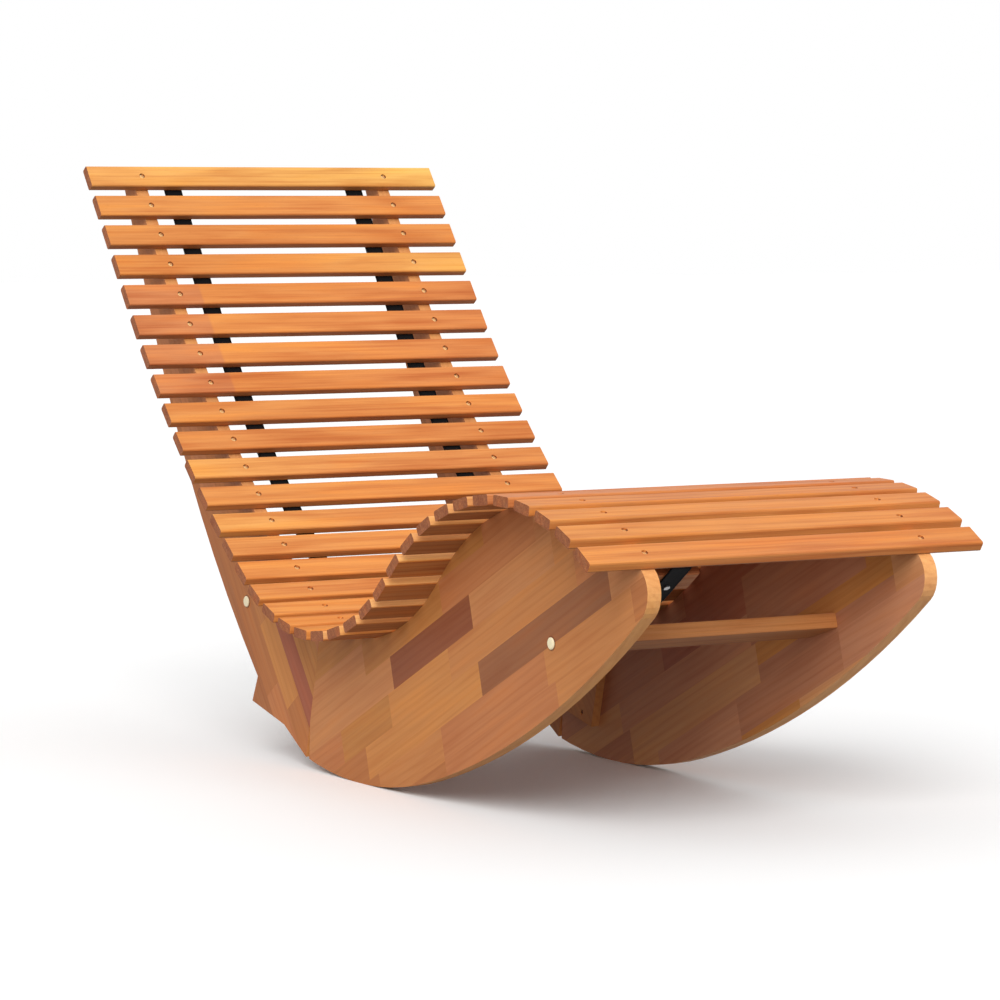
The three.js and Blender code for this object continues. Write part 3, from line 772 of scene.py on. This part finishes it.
STRAP_STEPS = 3
FOLD_STEPS = 8
BEND_STEPS = 8
STRAIGHT_STEPS = 10
STRAP_SAG = 1.2 * MM
# Where the strap's line has points under each slat, as shares of the slat's width
POINTS_ACROSS = (-0.5, 0.0, 0.5)
STRAP_FLAT = 0.8
# How far in from the strap's edge, and the share of half the thickness that it has there
STRAP_EDGE = ((0, 0), (0.3 * MM, 0.7), (1.0 * MM, 1), (2.2 * MM, 1), (2.8 * MM, STRAP_FLAT))


def under_slats():
    """The strap's middle line against the undersides of the slats, sagging a little between them."""
    drop = SLAT_THICKNESS / 2 + TOUCH + STRAP_THICKNESS / 2
    points = []
    for middle, up, ahead in SLATS:
        for share in POINTS_ACROSS:
            points.append(middle - up * drop + ahead * (share * SLAT_WIDTH))
    line = []
    for order, (start, end) in enumerate(zip(points, points[1:])):
        between = order % len(POINTS_ACROSS) == len(POINTS_ACROSS) - 1
        for step in range(STRAP_STEPS):
            share = step / STRAP_STEPS
            dip = STRAP_SAG * math.sin(math.pi * share) if between else 0
            line.append(start.lerp(end, share) - Vector((0, 0, dip)))
    return line + [points[-1]]


def folded_tail(last, slope):
    """The tail's points: the fold, the straight over the block, and the bend up to the free end."""
    turn = math.pi - math.radians(TAIL_SLOPE) - slope
    reach = FOLD_RADIUS * math.tan(turn / 2)
    heading = -slope
    point = last - Vector((math.cos(heading), 0, math.sin(heading))) * (FOLD_FROM_EDGE + reach)
    line = [point]
    legs = (
        (turn * FOLD_RADIUS, turn, FOLD_STEPS),
        (TAIL_STRAIGHT - reach, 0, STRAIGHT_STEPS),
        (math.radians(TAIL_BEND) * TAIL_BEND_RADIUS, math.radians(TAIL_BEND), BEND_STEPS),
    )
    for length, bend, steps in legs:
        for _ in range(steps):
            heading -= bend / steps / 2
            point = point + Vector((math.cos(heading), 0, math.sin(heading))) * (length / steps)
            heading -= bend / steps / 2
            line.append(point)
    return line


def strap_loop():
    """The strap's section, all round: places across it, and how far each is off the middle line."""
    half = STRAP_WIDTH / 2
    thick = STRAP_THICKNESS / 2
    right = [(inset - half, share * thick) for inset, share in STRAP_EDGE]
    left = [(-y, rise) for y, rise in reversed(right)]
    above = right + [(0, STRAP_FLAT * thick)] + left
    return above + [(y, -rise) for y, rise in reversed(above[1:-1])]


def strap_rings(bm, line, loop, middle):
    """The section's points at each point of the line."""
    rings = []
    for order, point in enumerate(line):
        before = line[max(order - 1, 0)]
        after = line[min(order + 1, len(line) - 1)]
        ahead = (after - before).normalized()
        out = Vector((-ahead.z, 0, ahead.x))
        spots = [Vector((point.x, middle + y, point.z)) + out * rise for y, rise in loop]
        rings.append([bm.verts.new(spot) for spot in spots])
    return rings


def strap(side, line, material):
    """A woven strap along a line: one closed band with beaded edges and a map of its own directions."""
    loop = strap_loop()
    count = len(loop)
    run = [0.0]
    for start, end in zip(line, line[1:]):
        run.append(run[-1] + (end - start).length)
    bm = bmesh.new()
    weave = bm.loops.layers.uv.new("weave")
    rings = strap_rings(bm, line, loop, SIDES[side] * STRAP_MIDDLE)
    for order, (ring, onward) in enumerate(zip(rings, rings[1:])):
        for step in range(count):
            after = (step + 1) % count
            face = bm.faces.new((ring[step], ring[after], onward[after], onward[step]))
            spots = ((step, order), (after, order), (after, order + 1), (step, order + 1))
            for corner, (place, station) in zip(face.loops, spots):
                corner[weave].uv = (loop[place][0] + STRAP_WIDTH, run[station])
    bm.faces.new(rings[0])
    bm.faces.new(list(reversed(rings[-1])))
    piece = finish_piece(bm, f"strap_weave_{side}", material)
    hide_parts(f"webbing_strap_{side}")


webbing = webbing_finish()
long_line = under_slats()
last_up, last_ahead = SLATS[-1][1:]
left_end = long_line[-1] - last_ahead * LEFT_END_FROM_EDGE
left_line = [point for point in long_line if point.x < left_end.x] + [left_end]
strap("left", left_line, webbing)
last_slope = math.atan2(last_up.x, last_up.z)
tail = folded_tail(long_line[-1], last_slope)
right_line = [point for point in long_line[:-1] if point.x < tail[0].x] + tail
strap("right", right_line, webbing)

# Staples that hold the straps to the slats

STAPLE_WIRE = 0.6 * MM
STAPLE_HALF = 6 * MM
STAPLE_LEG = 1.1 * MM
WIRE_SIDES = 4
# How far the wire's middle stands off the strap, as a share of the wire's radius
STAPLE_STAND = 0.6
# Along the crown and up, and which way the wire's corner leans there
STAPLE_BENDS = (
    (-STAPLE_HALF, -STAPLE_LEG, 0),
    (-STAPLE_HALF, 0, -1),
    (STAPLE_HALF, 0, 1),
    (STAPLE_HALF, -STAPLE_LEG, 0),
)


def staple(bm, place):
    """A wide staple's crown, whose ends turn down into the strap: a bent wire of four sides."""
    rings = []
    for y, z, lean in STAPLE_BENDS:
        ring = []
        for turn in range(WIRE_SIDES):
            angle = math.tau * (turn + 0.5) / WIRE_SIDES
            side = STAPLE_WIRE * math.cos(angle)
            rise = STAPLE_WIRE * math.sin(angle)
            if lean:
                spot = Vector((side, y + lean * rise, z + rise))
            else:
                spot = Vector((side, y + (rise if y > 0 else -rise), z))
            ring.append(bm.verts.new(place @ spot))
        rings.append(ring)
    for ring, onward in zip(rings, rings[1:]):
        for turn in range(WIRE_SIDES):
            after = (turn + 1) % WIRE_SIDES
            bm.faces.new((ring[turn], ring[after], onward[after], onward[turn]))
    bm.faces.new(rings[0])
    bm.faces.new(list(reversed(rings[-1])))


for side, sign in SIDES.items():
    bm = bmesh.new()
    drop = SLAT_THICKNESS / 2 + TOUCH + STRAP_THICKNESS + STAPLE_STAND * STAPLE_WIRE
    for middle, up, ahead in SLATS:
        spot = middle - up * drop + Vector((0, sign * STRAP_MIDDLE, 0))
        staple(bm, frame_at(spot, -up, ahead))
    finish_piece(bm, f"strap_staples_{side}", zinc)


# Stage and light

FLOOR_SIZE = 60
HORIZON_LEVEL = 0.42
ZENITH_LEVEL = 0.80
FLOOR_THROW = 0.30
FLOOR_MOTTLE = 0.1
FLOOR_ROUGHNESS = 0.9
MOTTLES_PER_METRE = 3
# Name, the direction that it shines from, how bright it makes a white face, and its spread in degrees
LAMPS = (
    ("key", (0.62, -0.50, 0.60), 0.57, 36),
    ("front", (0.73, -0.68, 0.08), 0.36, 50),
)


def seen_share(shade):
    """1 for the rays that show the background: straight from the camera, or by way of metal or glass."""
    path = shade.node("ShaderNodeLightPath").outputs
    seen = shade.math("MAXIMUM", path["Is Camera Ray"], path["Is Glossy Ray"])
    return shade.math("MAXIMUM", seen, path["Is Transmission Ray"])


def make_stage():
    """A pale floor that looks white, keeps the object's shadow, and throws little light back up."""
    bpy.ops.mesh.primitive_plane_add(size=FLOOR_SIZE)
    floor = bpy.context.object
    floor.name = "floor"
    shade = new_shading("floor_white")
    mottle = shade.noise(shade.position(), scale=MOTTLES_PER_METRE, detail=2)
    least = (1 - FLOOR_MOTTLE) * FLOOR_THROW
    most = (1 + FLOOR_MOTTLE) * FLOOR_THROW
    thrown = shade.spread(mottle, 0.0, 1.0, least, most)
    tint = shade.math("MAXIMUM", seen_share(shade), thrown)
    floor.data.materials.append(shade.finish(tint, FLOOR_ROUGHNESS, Specular_IOR_Level=0.0))


def make_world():
    """A pale sky, brighter overhead, that looks white behind the lounge."""
    world = bpy.data.worlds.new("studio")
    bpy.context.scene.world = world
    shade = Shading(world)
    height = shade.axes(shade.node("ShaderNodeTexCoord").outputs["Generated"])[2]
    sky = shade.spread(height, 0.0, 1.0, HORIZON_LEVEL, ZENITH_LEVEL)
    background = shade.tree.nodes["Background"].inputs
    background["Color"].default_value = (1, 1, 1, 1)
    shade.plug(background["Strength"], shade.math("MAXIMUM", seen_share(shade), sky))


def sun_lamp(name, toward, level, spread):
    """A soft parallel light that comes from a direction; level is how bright it makes a white face."""
    data = bpy.data.lights.new(name, "SUN")
    data.energy = level * math.pi
    data.angle = math.radians(spread)
    lamp = bpy.data.objects.new(name, data)
    lamp.rotation_euler = Vector(toward).to_track_quat("Z", "Y").to_euler()
    bpy.context.scene.collection.objects.link(lamp)


make_stage()
make_world()
for name, toward, level, spread in LAMPS:
    sun_lamp(name, toward, level, spread)
bpy.context.scene.view_settings.view_transform = "Standard"
